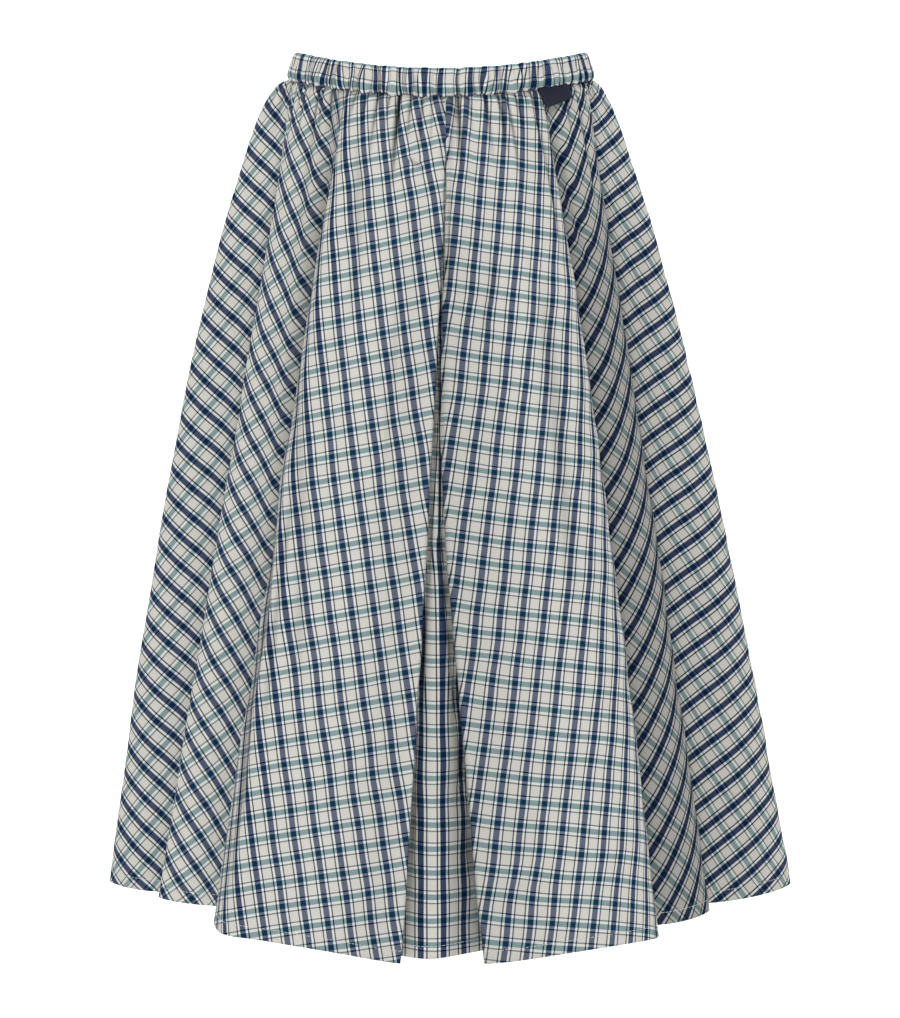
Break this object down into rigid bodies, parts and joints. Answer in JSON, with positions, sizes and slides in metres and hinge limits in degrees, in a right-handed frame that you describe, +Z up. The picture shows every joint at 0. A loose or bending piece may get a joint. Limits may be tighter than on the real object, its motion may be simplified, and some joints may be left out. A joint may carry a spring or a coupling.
{
  "type": "midi skirt",
  "caption": "Flared midi skirt with a gathered elastic waistband, an inverted centre pleat, deep side flutes, a gathered back and a plain tab at the waist seam.",
  "frame": {"origin": "middle of the waist opening, level with the waistband's top edge at centre front, where the wearer's waist holds the skirt", "axes": "+Z up along the body, -Y towards the skirt's front, +X to the right of someone who looks at its front"},
  "size_m": [0.6037, 0.4424, 0.726],
  "materials": {
    "check_cloth": "plain-woven cotton with a navy, teal and cream check, matt",
    "label_cloth": "tightly woven navy tape, bare"
  },
  "bodies": {
    "root": {"waistband": "check_cloth", "front_panel": "check_cloth", "back_panel": "check_cloth", "label": "label_cloth"}
  },
  "joints": []
}
